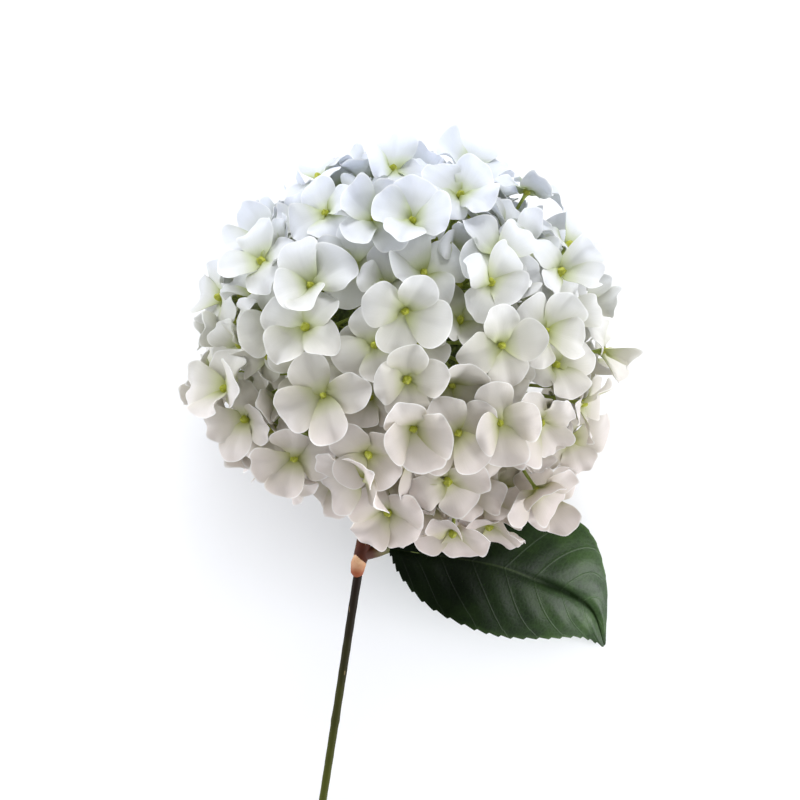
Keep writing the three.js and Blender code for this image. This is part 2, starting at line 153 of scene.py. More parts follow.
INNER = {
    "candidates": 240, "clear": 8.0, "size": 15.5, "sizes": (0.85, 1.15), "lifts": (15, 50), "share": 0.87,
}
STEM_KNOTS = [0.33, 0.66]  # shares of the stem's length from its cut end
SCAR = {"ends": (-98.5, -84.5), "off": [-0.55, 0.0, 0.5], "radius": 3.2}
# how far along the leaf its middle is folded in, and by what share
FOLD = {"least": 0.7, "more": 1.5, "along": [0.35, 0.6, 0.85, 0.97], "share": [0, 1, 0.9, 0], "width": 2.4}
QUILT = 0.24
LEAF_STALK = {"along": [0, 0.05, 0.11, 0.25, 1], "radii": [3.1, 2.6, 2.0, 1.2, 0.35]}


def unit(v):
    return v / np.linalg.norm(v)


def mix(a, b, t):
    return a + (b - a) * t


def random_from(seed):
    """A seeded stream of numbers from 0 to 1."""
    word = 0xFFFFFFFF
    state = [seed & word]

    def draw():
        state[0] = (state[0] + 0x6D2B79F5) & word
        t = ((state[0] ^ (state[0] >> 15)) * (state[0] | 1)) & word
        t ^= (t + (((t ^ (t >> 7)) * (t | 61)) & word)) & word
        return ((t ^ (t >> 14)) & word) / 4294967296

    return draw


def curve_point(points, t):
    """The point at share t of a smooth line, even in the number of points passed."""
    points = [np.asarray(p, float) for p in points]
    last = len(points) - 1
    place = last * t
    i = min(int(place), last - 1)
    weight = place - i
    before = points[i - 1] if i > 0 else 2 * points[0] - points[1]
    after = points[i + 2] if i + 2 <= last else 2 * points[last] - points[last - 1]
    p = [before, points[i], points[i + 1], after]
    d0, d1, d2 = [np.sum((p[k + 1] - p[k]) ** 2) ** 0.25 for k in range(3)]
    t1 = ((p[1] - p[0]) / d0 - (p[2] - p[0]) / (d0 + d1) + (p[2] - p[1]) / d1) * d1
    t2 = ((p[2] - p[1]) / d1 - (p[3] - p[1]) / (d1 + d2) + (p[3] - p[2]) / d2) * d1
    c2 = -3 * p[1] + 3 * p[2] - 2 * t1 - t2
    c3 = 2 * p[1] - 2 * p[2] + t1 + t2
    return p[1] + t1 * weight + c2 * weight**2 + c3 * weight**3


def even_line(points, count):
    """Points evenly spaced along the smooth line."""
    fine = np.array([curve_point(points, k / 200) for k in range(201)])
    run = np.concatenate([[0], np.cumsum(np.linalg.norm(np.diff(fine, axis=0), axis=1))])
    places = np.linspace(0, run[-1], count)
    return np.stack([np.interp(places, run, fine[:, k]) for k in range(3)], axis=1)


def seen_points(points):
    """The places of points that are seen from the eye at (x, y) in the plane of the head's centre."""
    places = np.array(points, float)
    farther = 1 + (HEAD_CENTRE[2] - places[:, 2:]) / EYE[2]
    places[:, :2] = EYE[:2] + (places[:, :2] - EYE[:2]) * farther
    return places


def spread_directions(count):
    """Directions spread evenly over a ball."""
    golden = math.pi * (3 - math.sqrt(5))
    directions = []
    for i in range(count):
        height = 1 - (2 * i + 1) / count
        out = math.sqrt(1 - height * height)
        directions.append(np.array([out * math.cos(golden * i), out * math.sin(golden * i), height]))
    return directions


# --- where the florets sit ---
leaf_lines = [seen_points(line) for line in (LEAF_MIDRIB, LEAF_UPPER_EDGE, LEAF_LOWER_EDGE)]
leaf_midrib, leaf_upper_edge, leaf_lower_edge = leaf_lines


def outward_at(seat):
    return unit(seat / HEAD_SEATS / HEAD_SEATS)


def between(one, other, angle):
    """The direction at an angle from one, towards another that is square to it."""
    return one * math.cos(angle) + other * math.sin(angle)


def in_bare_place(seat):
    """Whether a seat is where the stem leaves the head bare."""
    ways = [unit(np.array(way, float)) for way in BARE_DIRECTIONS]
    return any(unit(seat) @ way > math.cos(math.radians(BARE_ANGLE)) for way in ways)


def new_floret(seat, facing, turn, resting=False):
    return {"seat": seat, "facing": facing, "turn": turn, "resting": resting}


def swollen(seat):
    """A seat of the plain ellipsoid moved to where the head swells or is flattened."""
    swell = 1
    for way, share in LOBES:
        angle = math.degrees(math.acos(max(-1, min(1, unit(seat) @ unit(np.array(way))))))
        swell += share * math.exp(-((angle / LOBE_ANGLE) ** 2))
    return seat * swell


def upper_seat(x, y):
    z = HEAD_SEATS[2]
    for _ in range(8):
        nearer = 1 - z / EYE[2]
        place = EYE[:2] + (np.array([x, y]) - EYE[:2]) * nearer
        rim = math.hypot(*place / HEAD_SEATS[:2])
        if rim > 1:
            place /= rim
        z = HEAD_SEATS[2] * math.sqrt(max(0, 1 - rim * rim))
    return swollen(np.array([*place, z]))


def ruled_seats(taken):
    leaf_places = [curve_point(line, i / 12) for line in leaf_lines[:2] for i in range(13)]
    leaf_places = np.array(leaf_places) - HEAD_CENTRE
    seats = []
    for direction in spread_directions(FLORET_CANDIDATES):
        seat = swollen(direction * HEAD_SEATS)
        crowded = np.linalg.norm(np.array(taken + seats) - seat, axis=1).min() < FLORET_SPACING
        on_leaf = np.linalg.norm(leaf_places - seat, axis=1).min() < LEAF_CLEARANCE
        if not (crowded or on_leaf or in_bare_place(seat)):
            seats.append(seat)
    return seats


def turned(v, axis, angle):
    """v turned about a unit axis."""
    c, s = math.cos(angle), math.sin(angle)
    return v * c + np.cross(axis, v) * s + axis * (axis @ v) * (1 - c)


def floret_places():
    """Every floret of the head, where and how the solids have it."""
    florets = []
    for x, y, turn, *sideways in UPPER_FLORETS:
        seat = upper_seat(x, y)
        facing = mix(outward_at(seat), np.array([0.0, 0.0, 1.0]), FACE_UP)
        if sideways:
            facing = np.array([*sideways, SIDEWAYS_UP])
        florets.append(new_floret(seat, unit(facing), turn))
    x, y, turn = RESTING_FLORET
    low = np.array([x, y, -HEAD_SEATS[2]])
    florets.append(new_floret(low, np.array([0.0, 0.0, -1.0]), turn, resting=True))
    for i, seat in enumerate(ruled_seats([f["seat"] for f in florets])):
        turn = 90 * random_from(SEEDS["turn"] + i)()
        florets.append(new_floret(seat, outward_at(seat), turn))
    for i, floret in enumerate(florets):
        pose_floret(floret, random_from(SEEDS["pose"] + i))
    settle(florets)
    return florets


def pose_floret(floret, draw):
    lean = math.radians(0 if floret["resting"] else mix(0, LEAN, draw()))
    towards = 2 * math.pi * draw()
    side = unit(np.cross([math.cos(towards), math.sin(towards), 0.01], floret["facing"]))
    facing = turned(floret["facing"], side, lean)
    reference = np.array([0.0, 1.0, 0.0]) if abs(facing[0]) > 0.9 else np.array([1.0, 0.0, 0.0])
    along = unit(reference - facing * (reference @ facing))
    across = np.cross(facing, along)
    turn = math.radians(floret["turn"])
    floret["facing"] = facing
    floret["size"] = PETAL_LENGTH * mix(*FLORET_SIZES, draw())
    floret["cups"] = np.radians([mix(*LIFTS, draw()) for _ in range(PETALS)])
    floret["first"] = between(along, across, turn)
    floret["next"] = between(across, -along, turn)
    raise_floret(floret, RESTING_LIFT if floret["resting"] else 0)


def raise_floret(floret, height):
    floret["height"] = height
    floret["centre"] = floret["seat"] + HEAD_CENTRE + outward_at(floret["seat"]) * height
    rim = []
    for petal, cup in enumerate(floret["cups"]):
        for angle, reach, rise in RIM:
            a = math.radians(90 * petal + angle)
            length = floret["size"] * reach * math.cos(cup)
            flat = between(floret["first"] * length, floret["next"] * length, a)
            rim.append(floret["centre"] + flat + floret["facing"] * floret["size"] * math.sin(cup) * rise)
    floret["rim"] = np.array(rim)


def tangle(floret, other):
    """How many points of a floret's rim are on the other side of another's petals than the rest."""
    offset = floret["rim"] - other["centre"]
    u, v = offset @ other["first"], offset @ other["next"]
    out = np.hypot(u, v)
    petal = (np.floor(np.arctan2(v, u) / (math.pi / 2) + 0.5).astype(int) + PETALS) % PETALS
    height = offset @ other["facing"] - out * np.tan(other["cups"][petal])
    over = out <= other["size"]
    touch = SETTLING["touch"]
    return min(np.count_nonzero(over & (height > -touch)), np.count_nonzero(over & (height < touch)))


def settle(florets):
    """Lifts or sinks each floret, then bends each petal, to clear the neighbours' petals."""

    def choose(floret, options, apply):
        reach = SETTLING["near"] * PETAL_LENGTH
        near = [f for f in florets if f is not floret and np.linalg.norm(f["seat"] - floret["seat"]) < reach]
        costs = []
        for option in options:
            apply(option)
            sunk = np.count_nonzero(floret["rim"][:, 2] < FLORET_THICKNESS)
            tangled = sum(tangle(floret, f) + tangle(f, floret) for f in near)
            costs.append(tangled + sunk + SETTLING["cost"] * abs(option))
        apply(options[costs.index(min(costs))])

    standing = [floret for floret in florets if not floret["resting"]]
    for _ in range(SETTLING_ROUNDS):
        for floret in standing:
            choose(floret, HEIGHTS, lambda height: raise_floret(floret, height))
    for floret in standing:
        for petal in range(PETALS):
            lift = floret["cups"][petal]

            def bend_petal(bend):
                floret["cups"][petal] = lift + math.radians(bend)
                raise_floret(floret, floret["height"])

            choose(floret, BENDS, bend_petal)


# --- shapes ---
# A shape is (points, faces, {attribute name: a value at each point}).
def join(shapes):
    points, faces, start = [], [], 0
    for shape_points, shape_faces, _ in shapes:
        points.append(np.asarray(shape_points))
        faces.extend(tuple(k + start for k in face) for face in shape_faces)
        start += len(shape_points)
    names = shapes[0][2].keys()
    values = {name: np.concatenate([shape[2][name] for shape in shapes]) for name in names}
    return np.concatenate(points), faces, values


def sheet_shape(upper, lower, values):
    """A thin closed sheet from two grids of points, the upper's normal along rows x columns."""
    rows, columns = upper.shape[:2]
    count = rows * columns
    grid = np.arange(count).reshape(rows, columns)
    faces = []
    for start, turn in ((0, 1), (count, -1)):
        for a in (start + grid[:-1, :-1]).ravel().tolist():
            faces.append((a, a + columns, a + columns + 1, a + 1)[::turn])
    rim = [*grid[0], *grid[1:, -1], *grid[-1, -2::-1], *grid[-2:0:-1, 0]]
    for a, b in zip(rim, rim[1:] + rim[:1]):
        faces.append((a, b, b + count, a + count))
    points = np.concatenate([upper.reshape(-1, 3), lower.reshape(-1, 3)])
    return points, faces, {name: np.tile(v.ravel(), 2) for name, v in values.items()}


def tube(path, radii, sides):
    """A round rod with closed ends along a path of points."""
    path = np.asarray(path, float)
    tangents = np.gradient(path, axis=0)
    tangents /= np.linalg.norm(tangents, axis=1)[:, None]
    across = np.cross(tangents[0], [0, 0, 1] if abs(tangents[0][2]) < 0.9 else [1, 0, 0])
    points = []
    for centre, tangent, radius in zip(path, tangents, radii):
        across = unit(across - tangent * (across @ tangent))
        other = np.cross(tangent, across)
        for k in range(sides):
            points.append(centre + radius * between(across, other, 2 * math.pi * k / sides))
    last = len(points) - sides
    faces = []
    for row in range(0, last, sides):
        for k in range(sides):
            b = (k + 1) % sides
            faces.append((row + k, row + b, row + sides + b, row + sides + k))
    faces += [tuple(range(sides))[::-1], tuple(range(last, last + sides))]
    return np.array(points), faces, {"along": np.repeat(np.linspace(0, 1, len(path)), sides)}


def ball(segments, rings, form):
    """A closed round body: form(azimuth, polar angle) is the distance from its centre."""
    points = [np.array([0, 0, form(0, 0)])]
    for i in range(1, rings):
        polar = math.pi * i / rings
        for k in range(segments):
            a = 2 * math.pi * k / segments
            way = [math.sin(polar) * math.cos(a), math.sin(polar) * math.sin(a), math.cos(polar)]
            points.append(form(a, polar) * np.array(way))
    points.append(np.array([0, 0, -form(0, math.pi)]))
    last = len(points) - 1
    faces = []
    for k in range(segments):
        b = (k + 1) % segments
        faces.append((0, 1 + k, 1 + b))
        faces.append((last, last - segments + b, last - segments + k))
        for i in range(rings - 2):
            row = 1 + i * segments
            faces.append((row + k, row + segments + k, row + segments + b, row + b))
    return np.array(points), faces


def placed(template, centre, axes, tone):
    """A copy of a (points, faces) template with its own axes turned to the given ones."""
    points = centre + template[0] @ np.array(axes)
    return points, template[1], {"tone": np.full(len(points), tone)}


def new_object(name, data):
    obj = bpy.data.objects.new(name, data)
    bpy.context.collection.objects.link(obj)
    return obj


def piece(name, shape, material):
    """A smooth-shaded mesh object from a shape in millimetres, riding on the flower."""
    points, faces, values = shape
    mesh = bpy.data.meshes.new(name)
    mesh.from_pydata((np.asarray(points) * MM).tolist(), [], faces)
    for key, per_point in values.items():
        attribute = mesh.attributes.new(key, "FLOAT", "POINT")
        attribute.data.foreach_set("value", np.asarray(per_point, np.float32))
    mesh.shade_smooth()
    mesh.set_sharp_from_angle(angle=math.radians(SHARP_FROM))
    mesh.materials.append(material)
    obj = new_object(name, mesh)
    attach(obj, "root")
    return obj


# --- the florets ---
def disc_grid(n):
    """Points of a disc in a square's rows and columns."""
    a, b = np.linspace(-1, 1, n + 1)[:, None], np.linspace(-1, 1, n + 1)
    return a * np.sqrt(1 - b * b / 2), b * np.sqrt(1 - a * a / 2)


GRID = disc_grid(PETAL_GRID)
SMALL_GRID = disc_grid(8)
COARSE = disc_grid(6)


def petal_form(floret, petal, draw):
    """The drawn form of one petal: its lean, twist, cup, fold, roll, waves and lip."""

    def drawn(name):
        return mix(*DRAWN[name], draw())

    a = math.radians(90 * petal + mix(-SWING, SWING, draw()))
    tip, tip_way = floret["tip"]
    return {
        "out": between(floret["first"], floret["next"], a),
        "side": between(floret["next"], -floret["first"], a),
        "facing": floret["facing"],
        "centre": floret["centre"],
        "size": floret["size"] * drawn("size"),
        "cup": floret["cups"][petal] + math.radians(drawn("stand")) + tip * math.cos(a - tip_way),
        "lean": drawn("lean"),
        "twist": drawn("twist"),
        "width": floret["size"] * PETAL_WIDTH * drawn("width"),
        "point": POINT[0] * draw() ** POINT[1],
        "fold": drawn("fold"),
        "hollow": drawn("hollow"),
        "roll": ROLL[0] * draw() ** ROLL[1],
        "flip": drawn("flip"),
        "hand": -1 if draw() < 0.5 else 1,
        "bow": drawn("bow"),
        "waves": [(lobes, FULL_TURN * draw(), mix(LEAST_WAVE, most, draw())) for lobes, most in WAVES],
        "lip": drawn("lip"),
        "layer": LAYERS[petal % 2],
        "tone": draw(),
    }


def blade_half_width(form, x):
    breadth = BLADE[0] + BLADE[1] * x + BLADE[2] * x * x
    return 0.5 * form["width"] * breadth * (1 - form["point"] * np.clip(x, 0, 1) ** 2)


def petal_lift(form, x, y):
    """How high the petal stands over its floret's middle at the disc point (x, y)."""
    along = (1 + x) / 2
    spread = y * blade_half_width(form, x)
    margin, round_way = np.hypot(x, y), np.arctan2(y, x)
    past_claw = np.clip(2 * along, 0, 1)
    past_middle = np.clip((along - 0.5) / 0.5, 0, 1)
    to_one_side = np.clip(form["hand"] * y - 0.15, 0, 1)
    near_rim = np.clip((margin - 0.7) / 0.3, 0, 1)
    depth_of_crease, half_width = CREASE
    w = form["size"] * math.sin(form["cup"]) * along + form["bow"] * np.sin(math.pi * along)
    w += form["hollow"] * y * y * np.sqrt(along) + form["twist"] * spread * along
    w += form["fold"] * (np.sqrt(spread**2 + 0.25) - 0.5) * past_claw
    w -= form["roll"] * past_middle**2
    w += form["flip"] * to_one_side**1.6 * along
    for lobes, phase, depth in form["waves"]:
        w += depth * margin**3 * np.sin(lobes * round_way + phase)
    w -= form["lip"] * near_rim**2 * past_claw
    w -= depth_of_crease * np.exp(-((spread / half_width) ** 2)) * np.sin(math.pi * along)
    return w + form["layer"] * np.clip(along * 5, 0, 1)


def petal_points(form, grid):
    x, y = grid
    along = (1 + x) / 2
    u = form["size"] * along * math.cos(form["cup"])
    v = y * blade_half_width(form, x) + form["lean"] * form["size"] * along**2
    uvw = np.stack([u, v, petal_lift(form, x, y)])[..., None]
    return form["centre"] + uvw[0] * form["out"] + uvw[1] * form["side"] + uvw[2] * form["facing"]


def height_over(form, points):
    """Which points lie within a petal's outline, and how high each stands over its blade."""
    offset = points - form["centre"]
    along = offset @ form["out"] / (form["size"] * math.cos(form["cup"]))
    x = 2 * np.clip(along, 0, 1) - 1
    y = (offset @ form["side"] - form["lean"] * form["size"] * along**2) / blade_half_width(form, x)
    inside = (along > 0) & (np.hypot(x, y) < 1) & (along < 1)
    return inside, offset @ form["facing"] - petal_lift(form, x, np.clip(y, -1, 1))


def crossings(form, others):
    """How many points of others pass through a petal, others' axes being petal, point, x y z."""
    inside, over = height_over(form, others)
    above, below = (inside & (over > 0)).sum(axis=1), (inside & (over < 0)).sum(axis=1)
    return np.minimum(above, below).sum()


def press(points, form, others):
    """Moves the few points of a petal that pass through others to the side where most are."""
    for other in others:
        if np.linalg.norm(other["centre"] - form["centre"]) > REACH or other["centre"] is form["centre"]:
            continue
        inside, over = height_over(other, points)
        above, below = inside & (over > -GAP), inside & (over < GAP)
        if not above.any() or not below.any():
            continue
        downwards = (inside & (over > 0)).sum() < (inside & (over < 0)).sum()
        moved, target = (above, -GAP) if downwards else (below, GAP)
        points[moved] += (target - over[moved])[:, None] * other["facing"]


def grow_petals(florets, fixed, first_seed):
    """Forms for all petals, each the best of a few draws at passing clear of its neighbours."""
    tries, centres = [], [floret["centre"] for floret in florets]
    for i, floret in enumerate(florets):
        draw = random_from(first_seed + TIP_SEED + i)
        floret["tip"] = (math.radians(TIP * draw()), 2 * math.pi * draw())
        for petal in range(PETALS):
            draw = random_from(first_seed + PETALS * i + petal)
            tries.append([petal_form(floret, petal, draw) for _ in range(PETAL_DRAWS)])
    chosen = [forms[0] for forms in tries]
    coarse = [petal_points(form, COARSE).reshape(-1, 3) for form in chosen]
    for i, centre in enumerate(centres):
        near = [j for j, other in enumerate(centres) if j != i and np.linalg.norm(other - centre) < REACH]
        others = [coarse[PETALS * j + petal] for j in near for petal in range(PETALS)]
        others += [points for other, points in fixed if np.linalg.norm(other - centre) < REACH]
        for k in range(PETALS * i, PETALS * (i + 1)):
            chosen[k] = min(tries[k], key=lambda form: crossings(form, np.array(others)))
            coarse[k] = petal_points(chosen[k], COARSE).reshape(-1, 3)
    return chosen


def petal_shape(form, grid, others):
    """A petal's thin closed sheet, pressed clear of the others."""
    x, y = grid
    upper = petal_points(form, grid)
    press(upper, form, others)
    lower = upper - PETAL_THICKNESS * form["facing"]
    upper[..., 2] = np.maximum(upper[..., 2], 0)
    lower[..., 2] = np.maximum(lower[..., 2], PETAL_THICKNESS)
    tone = np.full(x.shape, form["tone"])
    values = {"along": (1 + x) / 2, "across": y, "margin": np.hypot(x, y), "tone": tone}
    return sheet_shape(upper, lower, values)


def lobed(a, polar):
    """The form of a closed bud with four lobes."""
    return 1 - 0.22 * (0.5 + 0.5 * math.cos(4 * a)) * math.sin(min(2 * polar, math.pi))


BUD = ball(16, 9, lobed)
BEAD = ball(6, 4, lambda a, polar: 1.0)


def button_shapes(floret, draw):
    """The lime bud in a floret's middle, left off where the petals lie on the ground."""
    if floret["centre"][2] < BUTTON_ROOM:
        return []
    facing, turn = floret["facing"], FULL_TURN * draw()
    one = between(floret["first"], floret["next"], turn)
    two = np.cross(facing, one)
    radius = BUTTON["radius"] * mix(*BUTTON["sizes"], draw())
    narrow = mix(BUTTON["narrowest"], 1.0, draw())
    axes = [one * radius, two * radius * narrow, facing * radius * BUTTON["tall"]]
    shape = placed(BUD, floret["centre"] + facing * BUTTON["rise"], axes, draw())
    shape[0][:, 2] = np.maximum(shape[0][:, 2], 0.1)
    return [shape]


def inner_florets(florets):
    """Smaller florets deeper in the head, in the room that the others leave."""
    places = []
    for i, filling in enumerate(FILLING):
        seat = np.array(filling)
        facing = unit(outward_at(seat) + np.array([0, 0, FILLING_UP]))
        floret = new_floret(seat, facing, FILLING_TURN * i)
        pose_floret(floret, random_from(SEEDS["filling"] + i))
        floret["size"] = INNER["size"]
        floret["centre"] = HEAD_CENTRE + seat
        places.append(floret)
    outer = np.array([unit(f["seat"] / HEAD_SEATS) for f in florets])
    for i, way in enumerate(spread_directions(INNER["candidates"])):
        draw = random_from(SEEDS["inner"] + i)
        seat = way * HEAD_SEATS
        near = np.degrees(np.arccos(np.clip((outer @ way).max(), -1, 1)))
        if near < INNER["clear"] or in_bare_place(seat):
            continue
        floret = new_floret(seat, unit(outward_at(seat)), 90 * draw())
        pose_floret(floret, draw)
        floret["size"] = INNER["size"] * mix(*INNER["sizes"], draw())
        floret["cups"] = np.radians([mix(*INNER["lifts"], draw()) for _ in range(PETALS)])
        floret["centre"] = HEAD_CENTRE + seat * INNER["share"]
        places.append(floret)
    return places


# --- the stalks inside the head ---
stem_direction = unit(STEM_TOP - HEAD_CENTRE)


def arc(start, middle, end, count):
    """Points of a bow from start to end, drawn towards middle."""
    t = np.linspace(0, 1, count)[:, None]
    return (1 - t) ** 2 * start + 2 * t * (1 - t) * middle + t**2 * end


def scatter(draw, size):
    """A drawn step, up to half the size along each axis."""
    return (np.array([draw(), draw(), draw()]) - 0.5) * size


def ray_ends():
    """Where the rays end: the last in the middle, and the others in a ring round it."""
    side = unit(np.cross([1.0, 0.0, 0.0], stem_direction))
    other = np.cross(side, stem_direction)
    middle = HEAD_CENTRE + stem_direction * 0.5 * HEAD_SEATS[1]
    turns = [2 * math.pi * i / (RAYS - 1) for i in range(RAYS - 1)]
    return [middle + between(side, other, turn) * RAY["spread"] for turn in turns] + [middle]


def ray_shapes(ends):
    """The rays that fork from the stem's top, swollen at the foot."""
    knot = STEM_TOP - stem_direction * 2
    steps = 14
    swell = 1 + 0.25 * np.exp(-((np.linspace(0, 1, steps) / 0.12) ** 2))
    radii = np.linspace(RAY["foot"], RAY["end"], steps) * swell
    lines = [[knot, mix(knot, end, 0.45) + stem_direction * 3, end] for end in ends]
    return [tube(even_line(line, steps), radii, 10) for line in lines]


def inner_stalk_shapes(florets, ends):
    """Each ray's end forks to the hubs near it, and each hub to its florets."""
    hubs = [HEAD_CENTRE + way * HEAD_SEATS * HUB_SHARE for way in spread_directions(HUBS)]
    shapes = []
    for hub in hubs:
        end = min(ends, key=lambda e: np.linalg.norm(e - hub))
        middle = mix(end, hub, 0.5) - stem_direction * 4
        shapes.append(tube(arc(end, middle, hub, 10), np.linspace(1.3, 1.05, 10), 7))
    for i, floret in enumerate(florets):
        draw = random_from(SEEDS["stalk"] + i)
        hub = min(hubs, key=lambda h: np.linalg.norm(h - floret["centre"]))
        under = floret["centre"] - floret["facing"] * mix(7, 10, draw())
        bow = arc(hub, mix(hub, under, 0.55) + scatter(draw, 5), under, 9)
        up = arc(under, under + floret["facing"] * 4, floret["centre"], 7)[1:]
        path = np.concatenate([bow, up])
        path[:, 2] = np.maximum(path[:, 2], 1.2)
        radii = [PEDICEL_RADIUS] * (len(path) - len(PEDICEL_END)) + PEDICEL_END
        shapes.append(tube(path, radii, 7))
    return shapes


def core_shapes():
    """The thicket in the head's middle: a lumpy mass and the small closed buds that stand on it."""
    draw = random_from(SEEDS["core"])
    phases = [FULL_TURN * draw() for _ in range(6)]

    def lumps(a, polar):
        wave = math.sin(7 * a + phases[0]) * math.sin(6 * polar + phases[1])
        wave += 0.6 * math.sin(13 * a + phases[2]) * math.sin(11 * polar + phases[3])
        return 1 + 0.035 * wave * math.sin(polar)

    mass = placed(ball(48, 28, lumps), HEAD_CENTRE, np.diag(HEAD_SEATS * CORE_SHARE * 0.8), 0.5)
    buds, stalks = [], []
    for way in spread_directions(CORE_BUDS):
        way = unit(way + scatter(draw, 0.16))
        foot = HEAD_CENTRE + way * HEAD_SEATS * CORE_SHARE * 0.74
        tip = HEAD_CENTRE + way * HEAD_SEATS * CORE_SHARE * mix(0.88, 1.06, draw())
        bow = (foot + tip) / 2 + scatter(draw, 3)
        stalks.append(tube(arc(foot, bow, tip, 4), [0.5] * 4, 5))
        size = mix(*BUD_SIZES, draw())
        side = unit(np.cross(way, [0.31, 0.42, 0.85]))
        axes = [side * size, np.cross(way, side) * size, way * size * 1.15]
        buds.append(placed(BUD if draw() < 0.5 else BEAD, tip, axes, draw()))
    return mass, buds, stalks


# --- the stem ---
stem_path = even_line(STEM_LINE, 400)


def bump_at(share, place, width):
    """A smooth swelling of height 1 at that place."""
    return np.exp(-(((share - place) / width) ** 2))


def stem_radius(share):
    body = mix(STEM["lower"], STEM["lower"] * 1.3, share / JOINT_AT)
    body = np.where(share < JOINT_AT, body, STEM["upper"])
    return body + np.maximum(0, (STEM["joint"] - body) * bump_at(share, JOINT_AT, 0.016))


def stem_shape():
    count = 240
    share = np.linspace(0, 1, count)
    radii = stem_radius(share) + 0.22 * sum(bump_at(share, knot, 0.006) for knot in STEM_KNOTS)
    return tube(even_line(STEM_LINE, count), radii * (1 + 0.02 * np.sin(share * 190)), 20)


def joint_shape():
    """The pale scar of a cut side shoot, bulging from the stem at the leaf's joint."""
    low, high = [np.argmin(np.abs(stem_path[:, 1] - y)) for y in SCAR["ends"]]
    spine = stem_path[low:high:2] + np.array(SCAR["off"])
    t = np.linspace(0, 1, len(spine))
    radii = SCAR["radius"] * np.sin(math.pi * np.clip(0.06 + 0.9 * t**0.75, 0, 1)) ** 0.55
    return tube(spine, radii * (1 + 0.04 * np.sin(t * 17)), 20)


def cut_end_shape():
    """The cut face of the stem: a bevelled disc with its pith sunk in."""
    end = stem_path[0]
    out = unit(end - stem_path[3])
    spine = [end + out * d for d in (-0.6, 0.0, 0.12, 0.12, 0.02)]
    return tube(spine, [STEM["lower"] * share for share in (1.01, 1.0, 0.9, 0.5, 0.2)], 20)


# --- the leaf ---
def furrow(t):
    """How deep the blade is folded in along its midrib."""
    return FOLD["least"] + FOLD["more"] * float(np.interp(t, FOLD["along"], FOLD["share"]))


def vein_phase(along, side):
    """Whole on a side vein, and half way between two of them."""
    return (along - VEINS["slope"] * side - VEINS["bend"] * side * side) * VEINS["pairs"]


def leaf_shape():
    teeth = TEETH["pairs"]
    rows, columns = teeth * 7, 44
    side = 2 * np.arange(columns, -1, -1) / columns - 1
    below, out = side < 0, abs(side)
    along = mix(0.002, 0.997, np.arange(rows + 1) / rows)
    upper = []
    for i, t in enumerate(along):
        rib, low, high = [curve_point(line, t) for line in (leaf_midrib, leaf_lower_edge, leaf_upper_edge)]
        edge = np.where(below[:, None], low, high)
        width = np.linalg.norm(edge - rib, axis=1)
        depth = np.where(below, TEETH["lower"], TEETH["upper"])
        tooth = depth * (1 - (i / rows * teeth + 0.12) % 1) / np.maximum(width, 1)
        share = out * (1 - np.minimum(0.25, tooth) * out**6)
        place = mix(rib, edge, share[:, None])
        quilt = QUILT * np.cos(2 * math.pi * vein_phase(t, out))
        place[:, 2] += (LEAF_BULGE - quilt) * np.sin(math.pi * share) * np.minimum(1, width / 20)
        place[:, 2] -= furrow(t) * np.exp(-((share * width / FOLD["width"]) ** 1.3))
        place[:, 2] += 0.5 * out**3 * np.sin(21 * t + 2.2 * side)
        upper.append(place)
    upper = np.array(upper)
    upper[..., 2] = np.maximum(upper[..., 2], LEAF_THICKNESS + 0.05)
    along, across = np.meshgrid(along, side, indexing="ij")
    return sheet_shape(upper, upper - [0, 0, LEAF_THICKNESS], {"along": along, "across": across})


def leaf_stalk_shape():
    """The leaf's stalk from the joint, thinning out as the rib under the folded blade."""
    base = curve_point(leaf_midrib, 0.02)
    path = [LEAF_JOINT, mix(LEAF_JOINT, base, 0.5) + [0, 0, 0.3], base - [0, 0, 3.6]]
    for t in (0.1, 0.25, 0.4, 0.55, 0.7, 0.82, 0.93):
        path.append(curve_point(leaf_midrib, t) - [0, 0, 0.35 + furrow(t) + mix(1.35, 0.4, t)])
    count = 60
    radii = np.interp(np.linspace(0, 1, count), LEAF_STALK["along"], LEAF_STALK["radii"])
    return tube(even_line(path, count), radii, 12)


# --- materials ---
# settings of the nodes that work on numbers and colours
TIMES = {"operation": "MULTIPLY"}
MINUS = {"operation": "SUBTRACT"}
TIMES_PLUS = {"operation": "MULTIPLY_ADD"}
SIZE_ONLY = {"operation": "ABSOLUTE"}
GENTLE = {"interpolation_type": "SMOOTHSTEP"}
TOWARDS = {"data_type": "RGBA"}
TINTED = {"data_type": "RGBA", "blend_type": "MULTIPLY"}


def linear(hex_colour):
    """An sRGB hex colour as linear red, green, blue and alpha."""
    channels = [int(hex_colour[k : k + 2], 16) / 255 for k in (1, 3, 5)]
    return [c / 12.92 if c <= 0.04045 else ((c + 0.055) / 1.055) ** 2.4 for c in channels] + [1.0]


def cells_of(size_mm):
    """The scale that gives a pattern cells of that size."""
    return 1 / (size_mm * MM)


def add_node(tree, kind, inputs=(), settings=None, out=0):
    """Adds a shader node and gives one of its outputs.

    inputs are values or sockets, in order or by name. settings are its own values, stops a ramp's.
    """
    node = tree.nodes.new("ShaderNode" + kind)
    for key, value in (settings or {}).items():
        if key == "stops":
            ramp = node.color_ramp
            while len(ramp.elements) < len(value):
                ramp.elements.new(1)
            for element, (place, colour) in zip(ramp.elements, value):
                element.position = place
                element.color = linear(colour)
        else:
            setattr(node, key, value)
    for key, value in inputs.items() if isinstance(inputs, dict) else enumerate(inputs):
        if isinstance(value, bpy.types.NodeSocket):
            tree.links.new(value, node.inputs[key])
        else:
            node.inputs[key].default_value = value
    return node.outputs[out] if node.outputs else None


def new_material(name):
    """A material with no nodes yet, and the function that adds one to it."""
    material = bpy.data.materials.new(name)
    material.use_nodes = True
    material.node_tree.nodes.clear()
    return material, partial(add_node, material.node_tree)


